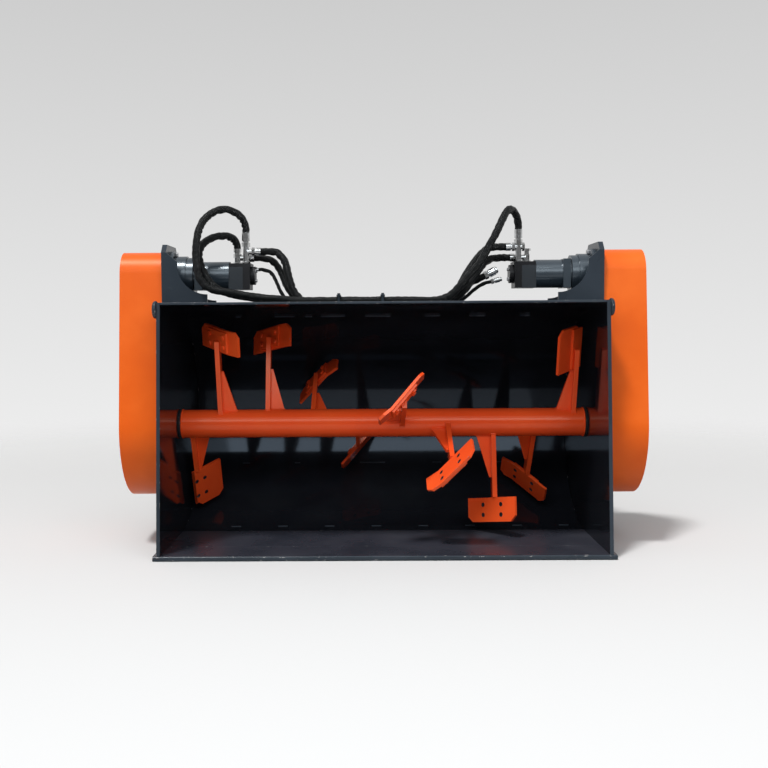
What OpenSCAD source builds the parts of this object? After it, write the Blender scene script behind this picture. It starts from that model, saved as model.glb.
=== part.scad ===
// Concrete mixing bucket for a skid-steer loader: an open-front drum with a paddle shaft across it,
// driven at both ends by a hydraulic motor through a roller chain in a side case.
// X runs across the bucket, the mouth faces -Y, Z is up. Depths are measured back from the cutting edge.

/* [Bucket body] */
// Inside width between the two side plates
inner_w = 1800; // [1400:10:2400]
// Thickness of each side plate
side_t = 15; // [10:1:20]
// Inside radius of the rolled back sheet
drum_r = 485; // [475:5:540]
// Thickness of the rolled back sheet
sheet_t = 8; // [5:1:12]
// Thickness of the top plate
top_t = 10; // [6:1:14]
// Thickness of the floor plate
floor_t = 12; // [8:1:16]
// Distance of the mixer shaft behind the cutting edge
shaft_d = 500; // [480:5:560]
// Height of the upper lip above the ground
lip_h = 1037; // [1020:1:1080]
// Distance of the upper lip behind the cutting edge
lip_back = 88; // [40:2:130]

/* [Cutting edge] */
// Thickness of the cutting edge
edge_t = 20; // [16:1:25]
// Depth of the cutting edge from front to back
edge_d = 180; // [120:5:220]
// Overhang of the cutting edge past each side plate
edge_over = 16; // [0:1:30]
// Bevel along the front of the cutting edge
edge_bevel = 4; // [1:1:8]

/* [Corner bosses] */
// Diameter of the round boss at each upper corner
boss_dia = 72; // [60:1:90]
// Thickness of the round boss
boss_t = 16; // [8:1:24]

/* [Motor plates] */
// Thickness of the upright plate that carries a motor
mplate_t = 20; // [16:1:25]
// Reach of the plate around the motor axis, to the front, back and top
mplate_r = 128; // [120:2:140]
// Cut across the two upper corners of the plate
mplate_cut = 34; // [10:2:50]
// Thickness of the two gussets of a plate
gusset_t = 10; // [6:1:16]
// Width of a gusset along the top plate
gusset_w = 170; // [150:5:220]
// Radius of the hollow curve of a gusset
gusset_r = 125; // [100:5:140]
// Height of the short upright end of a gusset
gusset_end = 48; // [25:1:60]

/* [Mixer shaft] */
// Outer diameter of the mixer tube
tube_dia = 125; // [100:1:150]
// Wall thickness of the mixer tube
tube_wall = 10; // [6:1:16]
// Diameter of the stub shafts
stub_dia = 70; // [60:1:80]
// Gap between each tube end and the side plate
tube_gap = 7; // [5:1:20]

/* [Arms and blades] */
// Radius swept by the blade edges
sweep_r = 440; // [420:1:450]
// Thickness of an arm bar
bar_t = 20; // [12:1:25]
// Width of an arm bar
bar_w = 60; // [40:2:80]
// Length of a working blade
blade_l = 270; // [220:5:300]
// Height of a working blade
blade_h = 106; // [90:1:130]
// Thickness of the blades
blade_t = 12; // [8:1:16]
// Turn of the working blades from the shaft line, in degrees
blade_turn = 50; // [35:1:60]
// Bend of the inner end of a working blade, in degrees
blade_bend = 12; // [5:1:20]
// Length of an end blade
end_blade_l = 150; // [120:5:170]
// Height of an end blade
end_blade_h = 195; // [160:5:210]
// Turn of the end blades from the shaft line, in degrees
end_turn = 45; // [35:1:50]

/* [Chain drive] */
// Chain pitch
pitch = 25.4; // [24:0.1:26]
// Teeth of the sprocket on the mixer shaft
big_teeth = 65; // [55:1:66]
// Teeth of the sprocket on the motor shaft
small_teeth = 13; // [12:1:15]
// Links of each chain, an even number
chain_n = 94; // [90:2:94]
// Distance of the motor axis in front of the mixer shaft
motor_fwd = 144; // [100:2:160]

/* [Chain case] */
// Radius of the case round the mixer shaft
case_r = 310; // [300:1:330]
// Radius of the case round the motor shaft
case_top_r = 101; // [95:1:112]
// Width of the case outside the side plate
case_w = 186; // [170:1:210]
// Wall thickness of the case and its lid
case_wall = 4; // [3:1:6]
// Depth of the lid inside the rim
lid_recess = 10; // [9:1:16]

/* [Motors] */
// Diameter of the motor's round body
motor_dia = 120; // [110:1:130]
// Diameter of the motor shaft
motor_shaft_dia = 50; // [40:1:56]

/* [Coupler plate] */
// Width of the coupler plate
coupler_w = 1150; // [1140:5:1200]
// Height of the coupler plate
coupler_h = 450; // [400:5:480]
// Thickness of the coupler plate and its rails
coupler_t = 12; // [10:1:16]
// Height of the coupler plate's lower edge above the ground
coupler_z = 80; // [60:5:110]
// Distance of the middle of a lock slot from the end of the ledge
slot_in = 57.5; // [50:0.5:75]
// Length of a lock slot
slot_l = 60; // [50:1:64]
// Width of a lock slot
slot_w = 36; // [32:1:40]

/* [Hoses] */
// Outer diameter of the sleeved pressure hoses
hose_dia = 28; // [24:1:28]
// Outer diameter of the drain hose
drain_dia = 15; // [12:1:16]

/* [Hidden] */
$fn = 72;
dark = "#3b4250";
orange = "#ee6a1e";
steel = "#b9bcc0";
black = "#1c1d20";
// overrun of every cut past the face that it opens
over = 1;
// radial clearance of a turning fit, and of a bolt in its hole
run_fit = 0.05;
bolt_fit = 0.4;

// Places across and up
side_x = inner_w / 2;
outer_x = side_x + side_t;
shaft_z = edge_t + drum_r;
shaft_c = [shaft_d, shaft_z];
coupler_gap = 22;
ledge_reach = 80;
plate_front = shaft_d + drum_r + sheet_t + coupler_gap;
depth_all = plate_front + coupler_t + ledge_reach;
function yd(d) = d - depth_all / 2;

// The top plate runs from the lip to where it meets the rolled sheet at a tangent
lip_in = [lip_back, lip_h - top_t];
lip_span = norm(lip_in - shaft_c);
fold_a = atan2(lip_in[1] - shaft_z, lip_in[0] - shaft_d) - acos(drum_r / lip_span);
fold_n = [cos(fold_a), sin(fold_a)];
fold_p = shaft_c + drum_r * fold_n;
lip_out = lip_in + top_t * fold_n;
fold_out = fold_p + top_t * fold_n;
function top_z(d) = lip_out[1] + (d - lip_out[0]) * (fold_out[1] - lip_out[1]) / (fold_out[0] - lip_out[0]);

// Chain drive: the centre distance is the one at which the chain closes on whole links
big_pr = pitch / (2 * sin(180 / big_teeth));
small_pr = pitch / (2 * sin(180 / small_teeth));
function tangent_l(c) = sqrt(c * c - pow(big_pr - small_pr, 2));
function links_at(c) = let (a = asin((big_pr - small_pr) / c))
    2 * tangent_l(c) / pitch + big_teeth * (180 + 2 * a) / 360 + small_teeth * (180 - 2 * a) / 360;
function closing_c(c, n) = n == 0 ? c : closing_c(c + (chain_n - links_at(c)) * pitch / 2, n - 1);
drive_c = closing_c(pitch * (chain_n - big_teeth / 2 - small_teeth / 2) / 2, 12);
motor_up = sqrt(drive_c * drive_c - motor_fwd * motor_fwd);
motor_c = shaft_c + [-motor_fwd, motor_up];
drive_a = atan2(motor_up, -motor_fwd);
wrap_t = acos((big_pr - small_pr) / drive_c);
big_wrap = big_teeth * (360 - 2 * wrap_t) / 360;
straight_n = tangent_l(drive_c) / pitch;
small_wrap = small_teeth * 2 * wrap_t / 360;
function polar(c, r, a) = c + r * [cos(a), sin(a)];
function chain_at(s) = let (u = s % chain_n, b = u - big_wrap, c = b - straight_n, e = c - small_wrap)
    b < 0 ? polar(shaft_c, big_pr, drive_a + wrap_t + u * 360 / big_teeth)
    : c < 0 ? polar(shaft_c, big_pr, drive_a - wrap_t) * (1 - b / straight_n)
        + polar(motor_c, small_pr, drive_a - wrap_t) * b / straight_n
    : e < 0 ? polar(motor_c, small_pr, drive_a - wrap_t + c * 360 / small_teeth)
    : polar(motor_c, small_pr, drive_a + wrap_t) * (1 - e / straight_n)
        + polar(shaft_c, big_pr, drive_a + wrap_t) * e / straight_n;
big_phase = drive_a + wrap_t;
small_phase = drive_a - wrap_t - (big_wrap + straight_n) * 360 / small_teeth;
roller_r = 0.3125 * pitch;
pin_r = 0.156 * pitch;
plate_r = 0.46 * pitch;
plate_waist = 0.34 * pitch;
link_plate_t = 3.2;
link_in = 0.31 * pitch;
plate_fit = 0.2;
chain_out = link_in + 2 * link_plate_t + 2 * plate_fit;
pin_end = 1.5;
sprocket_t = 14.6;
seat_fit = 0.35;
tooth_tip = 2;
sprocket_x = outer_x + case_w / 2;

// Outlines, drawn in depth and height
function arc(c, r, a0, a1, n) = [for (i = [0 : n]) polar(c, r, a0 + (a1 - a0) * i / n)];
function case_outline(rb, rt) = let (t = acos((rb - rt) / drive_c))
    concat(arc(motor_c, rt, drive_a - t, drive_a + t, 36),
        arc(shaft_c, rb, drive_a + t, drive_a - t + 360, 90));
side_r = shaft_z;
side_front = 3;
side_outline = concat([[side_front, edge_t], [edge_d, edge_t], [edge_d, 0]],
    arc(shaft_c, side_r, -90, fold_a, 90), [fold_out, lip_out]);
function mplate_outline(top, cut) = [[motor_c[0] - mplate_r, top_z(motor_c[0] - mplate_r)],
    [motor_c[0] + mplate_r, top_z(motor_c[0] + mplate_r)], [motor_c[0] + mplate_r, top - cut],
    [motor_c[0] + mplate_r - cut, top], [motor_c[0] - mplate_r + cut, top],
    [motor_c[0] - mplate_r, top - cut]];
mplate_top = motor_c[1] + mplate_r;

// A profile in depth and height, drawn across the bucket from x0 to x1
module across(x0, x1) translate([x0, yd(0), 0]) rotate([90, 0, 90]) linear_extrude(x1 - x0) children();
// A round bar across the bucket at the place c in depth and height
module round_bar(x0, x1, r, c)
    translate([x0, yd(c[0]), c[1]]) rotate([0, 90, 0]) cylinder(h = x1 - x0, r = r);
// An upright round bar at x, at depth d, between two heights
module upright(x, d, z0, z1, r) translate([x, yd(d), z0]) cylinder(h = z1 - z0, r = r);
module both_sides() { children(); mirror([1, 0, 0]) children(); }
module left_side() mirror([1, 0, 0]) children();

// Body plates. The rolled sheet stops short of the fold by the gap of a weld
weld_gap = 0.05;
fold_gap = atan(weld_gap / drum_r);
module rolled_back() color(dark)
    translate([-side_x, yd(shaft_d), shaft_z]) rotate([90, 0, 90]) rotate([0, 0, -90])
        rotate_extrude(angle = fold_a + 90 - fold_gap) translate([drum_r, 0]) square([sheet_t, inner_w]);
module top_plate() color(dark) across(-side_x, side_x) polygon([lip_in, fold_p, fold_out, lip_out]);
module floor_plate() color(dark)
    translate([-side_x, yd(edge_d), edge_t - floor_t]) cube([inner_w, shaft_d - edge_d, floor_t]);
module cutting_edge() color(dark) across(-outer_x - edge_over, outer_x + edge_over)
    polygon([[edge_bevel, 0], [edge_d, 0], [edge_d, edge_t], [edge_bevel, edge_t], [0, edge_t - edge_bevel],
        [0, edge_bevel]]);
seal_room = 10;
seal_bore = stub_dia / 2 + seal_room;
module side_plate() color(dark) difference() {
    across(side_x, outer_x) polygon(side_outline);
    round_bar(side_x - over, outer_x + over, seal_bore, shaft_c);
    for (p = bearing_bolt_at) round_bar(side_x + stud_end, outer_x + over, bearing_bolt_r + bolt_fit, p);
}
boss_edge = 6;
boss_share = 0.4;
boss_c = [lip_back + boss_dia / 4, lip_h - boss_share * boss_dia];
module corner_bosses() color(dark) both_sides() translate([outer_x, yd(boss_c[0]), boss_c[1]])
    rotate([0, 90, 0]) {
        cylinder(h = boss_t - boss_edge, d = boss_dia);
        translate([0, 0, boss_t - boss_edge])
            cylinder(h = boss_edge, d1 = boss_dia, d2 = boss_dia - 2 * boss_edge);
    }
stiff_h = 50;
stiff_t = 8;
stiff_angles = [20, 58];
// Folded stiffeners along the back of the rolled sheet, each an angle bar with its legs on the sheet
module back_stiffeners() color(dark) for (a = stiff_angles) difference() {
    translate([-side_x, yd(shaft_d), shaft_z]) rotate([a, 0, 0]) translate([0, drum_r, -stiff_h / 2])
        difference() {
            cube([inner_w, sheet_t + stiff_h, stiff_h]);
            translate([-over, -over, stiff_t])
                cube([inner_w + 2 * over, sheet_t + stiff_h - stiff_t + over, stiff_h - 2 * stiff_t]);
        }
    round_bar(-side_x - over, side_x + over, drum_r + sheet_t, shaft_c);
}

// Motor plates and their gussets, welded on the top plate
pilot_r = 62;
pilot_l = 15;
motor_bolt_r = 6.5;
motor_bolt_pcr = 90;
motor_bolt_at = [for (i = [0 : 5]) polar(motor_c, motor_bolt_pcr, 30 + 60 * i)];
module motor_plates() color(dark) both_sides() difference() {
    across(side_x, side_x + mplate_t) polygon(mplate_outline(mplate_top, mplate_cut));
    round_bar(side_x - over, side_x + mplate_t + over, pilot_r + run_fit, motor_c);
    for (p = motor_bolt_at)
        round_bar(side_x - over, side_x + mplate_t + over, motor_bolt_r + bolt_fit, p);
}
gusset_strip = 45;
gusset_slope = 38;
// One gusset: a strip up the motor plate, a hollow curve and a short upright end on the top plate
module gusset(d0) let (x0 = side_x - gusset_w, base = top_z(d0) + gusset_end, low = top_z(d0 + gusset_t))
    difference() {
        translate([0, yd(d0 + gusset_t), 0]) rotate([90, 0, 0]) linear_extrude(gusset_t)
            polygon(concat([[side_x, low], [side_x, mplate_top - mplate_cut],
                [side_x - gusset_strip, mplate_top - mplate_cut - gusset_slope]],
                arc([x0, base + gusset_r], gusset_r, 0, -90, 12), [[x0, low]]));
        across(x0 - over, side_x + over) polygon([lip_in, fold_p, fold_out, lip_out]);
    }
module motor_gussets() color(dark) both_sides()
    for (d0 = [motor_c[0] - mplate_r, motor_c[0] + mplate_r - gusset_t]) gusset(d0);

// Coupler plate on four ribs behind the drum, with the hook rail on its top; it stands on the lock ledge
coupler_top = coupler_z + coupler_h;
plate_back = plate_front + coupler_t;
rib_t = 16;
rib_share = 0.33;
back_r = drum_r + sheet_t;
rib_cut = 40;
rib_d = shaft_d + back_r * cos(asin((shaft_z - coupler_z) / back_r));
// The ribs reach down to the ground, so that the bucket stands level
module coupler_ribs() color(dark) both_sides() for (x = [coupler_w / 2 - rib_t, coupler_w / 2 * rib_share])
    difference() {
        across(x, x + rib_t) polygon([[rib_d, 0], [plate_front - rib_cut, 0], [plate_front, rib_cut],
            [plate_front, coupler_top], [rib_d, coupler_top]]);
        round_bar(x - over, x + rib_t + over, back_r, shaft_c);
    }
module coupler_plate() color(dark) translate([-coupler_w / 2, yd(plate_front), coupler_z + coupler_t])
    cube([coupler_w, coupler_t, coupler_h - coupler_t]);
hook_up = 44;
hook_reach = 72;
hook_drop = 10;
hook_lip = 14;
module hook_rail() color(dark) across(-coupler_w / 2, coupler_w / 2) polygon([
    [plate_front, coupler_top], [plate_back, coupler_top],
    [plate_back, coupler_top + hook_up - 2 * coupler_t],
    [plate_front + hook_reach, coupler_top - hook_drop],
    [plate_front + hook_reach, coupler_top - hook_drop + hook_lip], [plate_front, coupler_top + hook_up]]);
slot_d = plate_back + ledge_reach / 2;
slot_gap = coupler_w - 2 * slot_in;
module lock_ledge() color(dark) difference() {
    translate([-coupler_w / 2, yd(plate_front), coupler_z])
        cube([coupler_w, coupler_t + ledge_reach, coupler_t]);
    both_sides() {
        for (e = [-1, 1])
            upright(slot_gap / 2 + e * (slot_l - slot_w) / 2, slot_d, coupler_z - over,
                coupler_z + coupler_t + over, slot_w / 2);
        translate([slot_gap / 2 - (slot_l - slot_w) / 2, yd(slot_d) - slot_w / 2, coupler_z - over])
            cube([slot_l - slot_w, slot_w, coupler_t + 2 * over]);
    }
}

// Chain case: a rim round both sprockets with a bolting flange, and a lid set into it
lid_flange = 22;
lid_fit = 1;
lid_out = outer_x + case_w - lid_recess;
lid_in = lid_out - case_wall;
// The rim's inner side is closed by the side plate, the motor plate and a wall of its own above them
back_lap = 30;
module chain_case() color(orange) difference() {
    union() {
        intersection() {
            across(outer_x, outer_x + case_wall) polygon(case_outline(case_r, case_top_r));
            translate([outer_x, yd(0), fold_out[1] - back_lap]) cube([case_wall, depth_all, 2 * case_r]);
        }
        difference() {
            across(outer_x, outer_x + case_w) polygon(case_outline(case_r, case_top_r));
            across(outer_x - over, outer_x + case_w + over)
                polygon(case_outline(case_r - case_wall, case_top_r - case_wall));
        }
        difference() {
            across(lid_in - 2 * case_wall, lid_in)
                polygon(case_outline(case_r - case_wall / 2, case_top_r - case_wall / 2));
            across(lid_in - 2 * case_wall - over, lid_in + over)
                polygon(case_outline(case_r - case_wall - lid_flange, case_top_r - case_wall - lid_flange));
        }
    }
    across(outer_x - over, side_x + mplate_t) polygon(mplate_outline(mplate_top, mplate_cut));
    lid_holes(lid_in - 2 * case_wall - over, lid_in + over, lid_bolt_r + bolt_fit);
}
module case_lid() color(orange) difference() {
    across(lid_in, lid_out)
        polygon(case_outline(case_r - case_wall - lid_fit, case_top_r - case_wall - lid_fit));
    lid_holes(lid_in - over, lid_out + over, lid_bolt_r + bolt_fit);
}
lid_bolt_r = 5;
lid_bolt_in = case_wall + lid_flange / 2;
case_t = acos((case_r - case_top_r) / drive_c);
big_bolts = [for (i = [0 : 8]) polar(shaft_c, case_r - lid_bolt_in,
    drive_a + case_t + (360 - 2 * case_t) * i / 8)];
top_bolts = [for (i = [0 : 2]) polar(motor_c, case_top_r - lid_bolt_in, drive_a + case_t * (i - 1))];
side_bolts = [for (s = [-1, 1], f = [0.33, 0.67])
    polar(shaft_c, case_r - lid_bolt_in, drive_a + s * case_t) * (1 - f)
    + polar(motor_c, case_top_r - lid_bolt_in, drive_a + s * case_t) * f];
lid_bolt_at = concat(big_bolts, top_bolts, side_bolts);
module lid_holes(x0, x1, r) for (p = lid_bolt_at) round_bar(x0, x1, r, p);
// A hexagon head or nut across the bucket, and a bolt with its head at x1
head_share = 1.75;
module hex_across(x0, x1, r, c) round_bar(x0, x1, r, c, $fn = 6);
module bolt_across(x0, x1, r, head, c) {
    round_bar(x0, x1, r, c);
    hex_across(x1, x1 + head, head_share * r, c);
}
lid_head = 6;
module lid_bolts() color(steel) both_sides() for (p = lid_bolt_at)
    bolt_across(lid_in - 3 * case_wall, lid_out, lid_bolt_r, lid_head, p);

// Flange bearings, races and seals that carry the mixer
bearing_sq = 190;
bearing_flange = 22;
bearing_boss_r = 64;
bearing_l = 42;
race_r = 50;
race_l = 30;
bearing_bolt_off = 72;
bearing_bolt_r = 8;
bearing_head = 10;
stud_end = 4;
bearing_bolt_at = [for (i = [-1, 1], j = [-1, 1]) shaft_c + bearing_bolt_off * [i, j]];
module bearing_housing() color(dark) difference() {
    union() {
        translate([outer_x, yd(shaft_d) - bearing_sq / 2, shaft_z - bearing_sq / 2])
            cube([bearing_flange, bearing_sq, bearing_sq]);
        round_bar(outer_x, outer_x + bearing_l, bearing_boss_r, shaft_c);
    }
    round_bar(outer_x - over, outer_x + bearing_l + over, race_r + run_fit, shaft_c);
    for (p = bearing_bolt_at)
        round_bar(outer_x - over, outer_x + bearing_flange + over, bearing_bolt_r + bolt_fit, p);
}
module bearing_races() color(steel) both_sides() difference() {
    round_bar(outer_x + bearing_l - race_l, outer_x + bearing_l, race_r, shaft_c);
    round_bar(outer_x, outer_x + bearing_l + over, stub_dia / 2 + run_fit, shaft_c);
}
module bearing_bolts() color(steel) both_sides() for (p = bearing_bolt_at)
    bolt_across(side_x + stud_end + bolt_fit, outer_x + bearing_flange, bearing_bolt_r, bearing_head, p);
seal_gap = 0.5;
seal_lip = 4;
module shaft_seals() color(black) both_sides() difference() {
    round_bar(side_x - tube_gap + seal_gap, side_x, tube_dia / 2 + seal_lip, shaft_c);
    round_bar(side_x - tube_gap, side_x + over, stub_dia / 2 + run_fit, shaft_c);
}

// Mixer: a tube on two stub shafts, each plugged into an end of the tube
tube_end = side_x - tube_gap;
plug_l = 36;
plug_fit = 0.1;
shaft_past = 34;
module mixer_tube() color(orange) difference() {
    round_bar(-tube_end, tube_end, tube_dia / 2, shaft_c);
    round_bar(-tube_end - over, tube_end + over, tube_dia / 2 - tube_wall, shaft_c);
}
module stub_shafts() color(steel) both_sides() {
    round_bar(tube_end - plug_l, tube_end, tube_dia / 2 - tube_wall - plug_fit, shaft_c);
    round_bar(tube_end - plug_l / 2, sprocket_x + shaft_past, stub_dia / 2, shaft_c);
}

// Arms, counted from left to right: place along the shaft, turn round it from upright towards the mouth
arm_share = [-0.942, -0.796, -0.566, -0.346, -0.124, 0.096, 0.318, 0.544, 0.751, 0.935];
arm_turn = [-152, 15, -13, -62, -111, 71, 114, 168, -139, 16];
function is_end(i) = i == 0 || i == 9;
// Puts an arm of the left-hand pattern at its place; those of the right half are its mirror image
module at_arm(i) translate([arm_share[i] * side_x, yd(shaft_d), shaft_z]) rotate([arm_turn[i], 0, 0])
    if (i > 4) mirror([1, 0, 0]) children(); else children();
bracket_t = 10;
bracket_share = 0.56;
bracket_in = 8;
end_past = 32;
web_t = 12;
web_w = 62;
web_tip = 245;
web_nose = 10;
function b_len(i) = is_end(i) ? end_blade_l : blade_l;
function b_high(i) = is_end(i) ? end_blade_h : blade_h;
function b_turn(i) = is_end(i) ? end_turn : blade_turn;
function b_start(i) = is_end(i) ? -end_past : -blade_l / 2;
function bracket_half(i) = is_end(i) ? end_past : bracket_share * blade_l / 2;
// The flat side of an arm's bracket, turned to the blade's direction, with Y out of it and Z along the arm
module at_face(i) rotate([0, 0, -b_turn(i)]) translate([0, bracket_t / 2, sweep_r - b_high(i)]) children();
// The four bolt places of a blade on that side, with Z out of it
bolt_r = 6;
head_r = 9.6;
sink_d = 5;
nut_t = 8;
bolt_ends = 0.7;
bolt_up_share = 0.21;
module at_holes(i) for (e = [-1, 1], f = [-1, 1])
    translate([e * bolt_ends * bracket_half(i), 0, b_high(i) / 2 + f * bolt_up_share * b_high(i)])
        rotate([-90, 0, 0]) children();
module arm(i) color(orange) difference() {
    union() {
        translate([-bar_t / 2, -bar_w / 2, 0]) cube([bar_t, bar_w, sweep_r - b_high(i) / 2]);
        translate([0, web_t / 2, 0]) rotate([90, 0, 0]) linear_extrude(web_t)
            polygon([[0, 0], [bar_t / 2 + web_w, 0], [bar_t / 2 + web_w, tube_dia / 2],
                [bar_t / 2 + web_nose, web_tip], [0, web_tip]]);
        at_face(i) translate([-bracket_half(i), -bracket_t, bracket_in])
            cube([2 * bracket_half(i), bracket_t, b_high(i) - 2 * bracket_in]);
    }
    rotate([0, 90, 0]) cylinder(h = 4 * web_w, r = tube_dia / 2 + weld_gap, center = true);
    at_face(i) translate([-blade_l / 2, 0, -over]) cube([blade_l, bar_w, b_high(i) + 2 * over]);
    at_face(i) at_holes(i) translate([0, 0, -bracket_t - bolt_fit])
        cylinder(h = bracket_t + over, r = bolt_r + bolt_fit);
}
module mixer_arms() for (i = [0 : 9]) at_arm(i) arm(i);
bend_share = 0.24;
corner_cut = 26;
// A blade: a strip with its outer corners cut and four sunk holes; a working blade is bent near its inner end
module blade(i) let (l = b_len(i), bent = l * bend_share, flat = l - bent, s = is_end(i) ? 0 : blade_bend)
    color(orange) at_face(i) difference() {
        translate([b_start(i), 0, 0]) difference() {
            linear_extrude(b_high(i)) polygon([[0, 0], [flat, 0], [flat + bent * cos(s), bent * sin(s)],
                [flat + bent * cos(s) - blade_t * sin(s), bent * sin(s) + blade_t * cos(s)],
                [flat - blade_t * tan(s / 2), blade_t], [0, blade_t]]);
            for (x = [0, l]) translate([x, -over, b_high(i)]) rotate([0, 45, 0])
                translate([-corner_cut / sqrt(2), 0, -corner_cut / sqrt(2)])
                    cube([corner_cut * sqrt(2), l, corner_cut * sqrt(2)]);
        }
        at_holes(i) {
            translate([0, 0, -over]) cylinder(h = blade_t + 2 * over, r = bolt_r + bolt_fit);
            translate([0, 0, blade_t - sink_d]) cylinder(h = blade_t, r = head_r + bolt_fit);
        }
    }
// Bolts of the working blades go through the bracket to a nut; those of the end blades screw into the bracket
sink_over = 0.5;
module blade_bolts() color(steel) for (i = [0 : 9]) at_arm(i) at_face(i) at_holes(i) difference() {
    union() {
        translate([0, 0, -bracket_t]) cylinder(h = bracket_t + blade_t - sink_d, r = bolt_r);
        translate([0, 0, blade_t - sink_d]) cylinder(h = sink_d - sink_over, r = head_r);
        if (!is_end(i)) {
            translate([0, 0, -bracket_t - nut_t]) cylinder(h = nut_t + over, r = bolt_r);
            translate([0, 0, -bracket_t - nut_t]) cylinder(h = nut_t, r = head_share * bolt_r, $fn = 6);
        }
    }
    translate([0, 0, blade_t - sink_d + over]) cylinder(h = sink_d, r = bolt_r, $fn = 6);
}

// Chain drive: toothed outlines, sprockets with hubs, and the chains
function teeth(c, r, n, phase) = [for (i = [0 : n - 1]) let (a = phase + 360 * i / n, s = polar(c, r, a),
    tip_r = pitch * (0.3 + 0.5 / tan(180 / n)), t = asin(tooth_tip / tip_r), m = a + 180 / n)
    each concat([for (k = [-2 : 2]) polar(s, roller_r + seat_fit, a + 180 - 32.5 * k)],
        [polar(c, tip_r, m - t), polar(c, tip_r, m + t)])];
big_hub_r = 62;
big_hub_l = 33;
big_hole_r = 44;
big_hole_pcr = 165;
module large_sprocket() color(steel) difference() {
    union() {
        across(sprocket_x - sprocket_t / 2, sprocket_x + sprocket_t / 2)
            polygon(teeth(shaft_c, big_pr, big_teeth, big_phase));
        round_bar(sprocket_x - big_hub_l, sprocket_x + big_hub_l, big_hub_r, shaft_c);
    }
    round_bar(sprocket_x - 2 * big_hub_l, sprocket_x + 2 * big_hub_l, stub_dia / 2 + run_fit, shaft_c);
    for (i = [0 : 5])
        round_bar(sprocket_x - sprocket_t, sprocket_x + sprocket_t, big_hole_r,
            polar(shaft_c, big_hole_pcr, 60 * i));
}
small_hub_r = 38;
small_hub_in = 28;
small_hub_out = 22;
module small_sprocket() color(steel) difference() {
    union() {
        across(sprocket_x - sprocket_t / 2, sprocket_x + sprocket_t / 2)
            polygon(teeth(motor_c, small_pr, small_teeth, small_phase));
        round_bar(sprocket_x - small_hub_in, sprocket_x + small_hub_out, small_hub_r, motor_c);
    }
    round_bar(sprocket_x - 2 * small_hub_in, sprocket_x + 2 * small_hub_out,
        motor_shaft_dia / 2 + run_fit, motor_c);
}
module link_bar(x0, x1, r) translate([x0, 0, 0]) rotate([0, 90, 0]) cylinder(h = x1 - x0, r = r, $fn = 24);
module link_plates(x, l) for (e = [x, -x - link_plate_t]) {
    for (y = [0, l]) translate([0, y, 0]) link_bar(e, e + link_plate_t, plate_r);
    translate([e, 0, -plate_waist]) cube([link_plate_t, l, 2 * plate_waist]);
}
module inner_link(l) difference() {
    union() {
        link_plates(link_in, l);
        for (y = [0, l]) translate([0, y, 0]) link_bar(-link_in, link_in, roller_r);
    }
    for (y = [0, l]) translate([0, y, 0]) link_bar(-chain_out, chain_out, pin_r + plate_fit);
}
module outer_link(l) union() {
    link_plates(chain_out - link_plate_t, l);
    for (y = [0, l]) translate([0, y, 0]) link_bar(-chain_out - pin_end, chain_out + pin_end, pin_r);
}
module chain() color(steel) translate([sprocket_x, yd(0), 0]) for (i = [0 : chain_n - 1])
    let (a = chain_at(i), v = chain_at(i + 1) - a)
        translate([0, a[0], a[1]]) rotate([atan2(v[1], v[0]), 0, 0])
            if (i % 2 == 0) inner_link(norm(v)); else outer_link(norm(v));

// Motors: stations are measured inwards from the inner face of the side plate
flange_t = 18;
flange_r = 105;
housing_l = 100;
housing_r = 78;
ring_r = 84;
ring_from = 30;
ring_to = 70;
lug_from = 106;
lug_to = 137;
lug_half = 61;
lug_deep = 64;
body_end = 251;
block_end = 310;
cover_end = 340;
block_deep = 55;
block_down = 60;
block_up = 51;
port_plate_t = 16;
port_plate_end = 344;
cap_end = 359;
cap_r = 39;
cap_bolt_r = 4;
cap_bolt_pcr = 29;
cap_bolt_l = 66;
cap_head = 5;
cap_bolt_at = [for (i = [0 : 3]) polar(motor_c, cap_bolt_pcr, 45 + 90 * i)];
block_top = motor_c[1] + block_up;
shaft_play = 2;
module inward(a, b, r, c = motor_c) round_bar(side_x - b, side_x - a, r, c);
module motor() color("#7d8794") difference() {
    union() {
        inward(-pilot_l, over, pilot_r);
        inward(0, flange_t, flange_r);
        inward(0, housing_l, housing_r);
        inward(ring_from, ring_to, ring_r);
        inward(0, body_end, motor_dia / 2);
        translate([side_x - lug_to, yd(motor_c[0]) - lug_deep, motor_c[1] - lug_half])
            cube([lug_to - lug_from, 2 * lug_deep, 2 * lug_half]);
        translate([side_x - block_end, yd(motor_c[0]) - block_deep, motor_c[1] - block_down])
            cube([block_end - body_end + over, 2 * block_deep, block_down + block_up - port_plate_t]);
    }
    inward(-pilot_l - over, housing_l, motor_shaft_dia / 2 + run_fit);
    for (p = motor_bolt_at) inward(-over, flange_t + over, motor_bolt_r + bolt_fit, p);
    for (p = cap_bolt_at) inward(cap_end - cap_bolt_l - bolt_fit, cap_end, cap_bolt_r + bolt_fit, p);
}
// The end cover with its cap, and the port plate that lies over the block and the cover
module motor_caps() color(black) both_sides() difference() {
    union() {
        inward(block_end, cap_end, cap_r);
        translate([side_x - cover_end, yd(motor_c[0]) - block_deep, motor_c[1] - block_down])
            cube([cover_end - block_end, 2 * block_deep, block_down + block_up]);
        translate([side_x - port_plate_end, yd(motor_c[0]) - block_deep, block_top - port_plate_t])
            cube([port_plate_end - body_end, 2 * block_deep, port_plate_t]);
    }
    for (p = cap_bolt_at) inward(block_end - over, cap_end + over, cap_bolt_r + bolt_fit, p);
}
motor_head = 10;
module motor_bolts() color(steel) both_sides() {
    for (p = motor_bolt_at) {
        inward(-mplate_t, flange_t, motor_bolt_r, p);
        inward(flange_t, flange_t + motor_head, head_share * motor_bolt_r, p, $fn = 6);
    }
    for (p = cap_bolt_at) {
        inward(cap_end - cap_bolt_l, cap_end, cap_bolt_r, p);
        inward(cap_end, cap_end + cap_head, head_share * cap_bolt_r, p, $fn = 6);
    }
}
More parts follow.
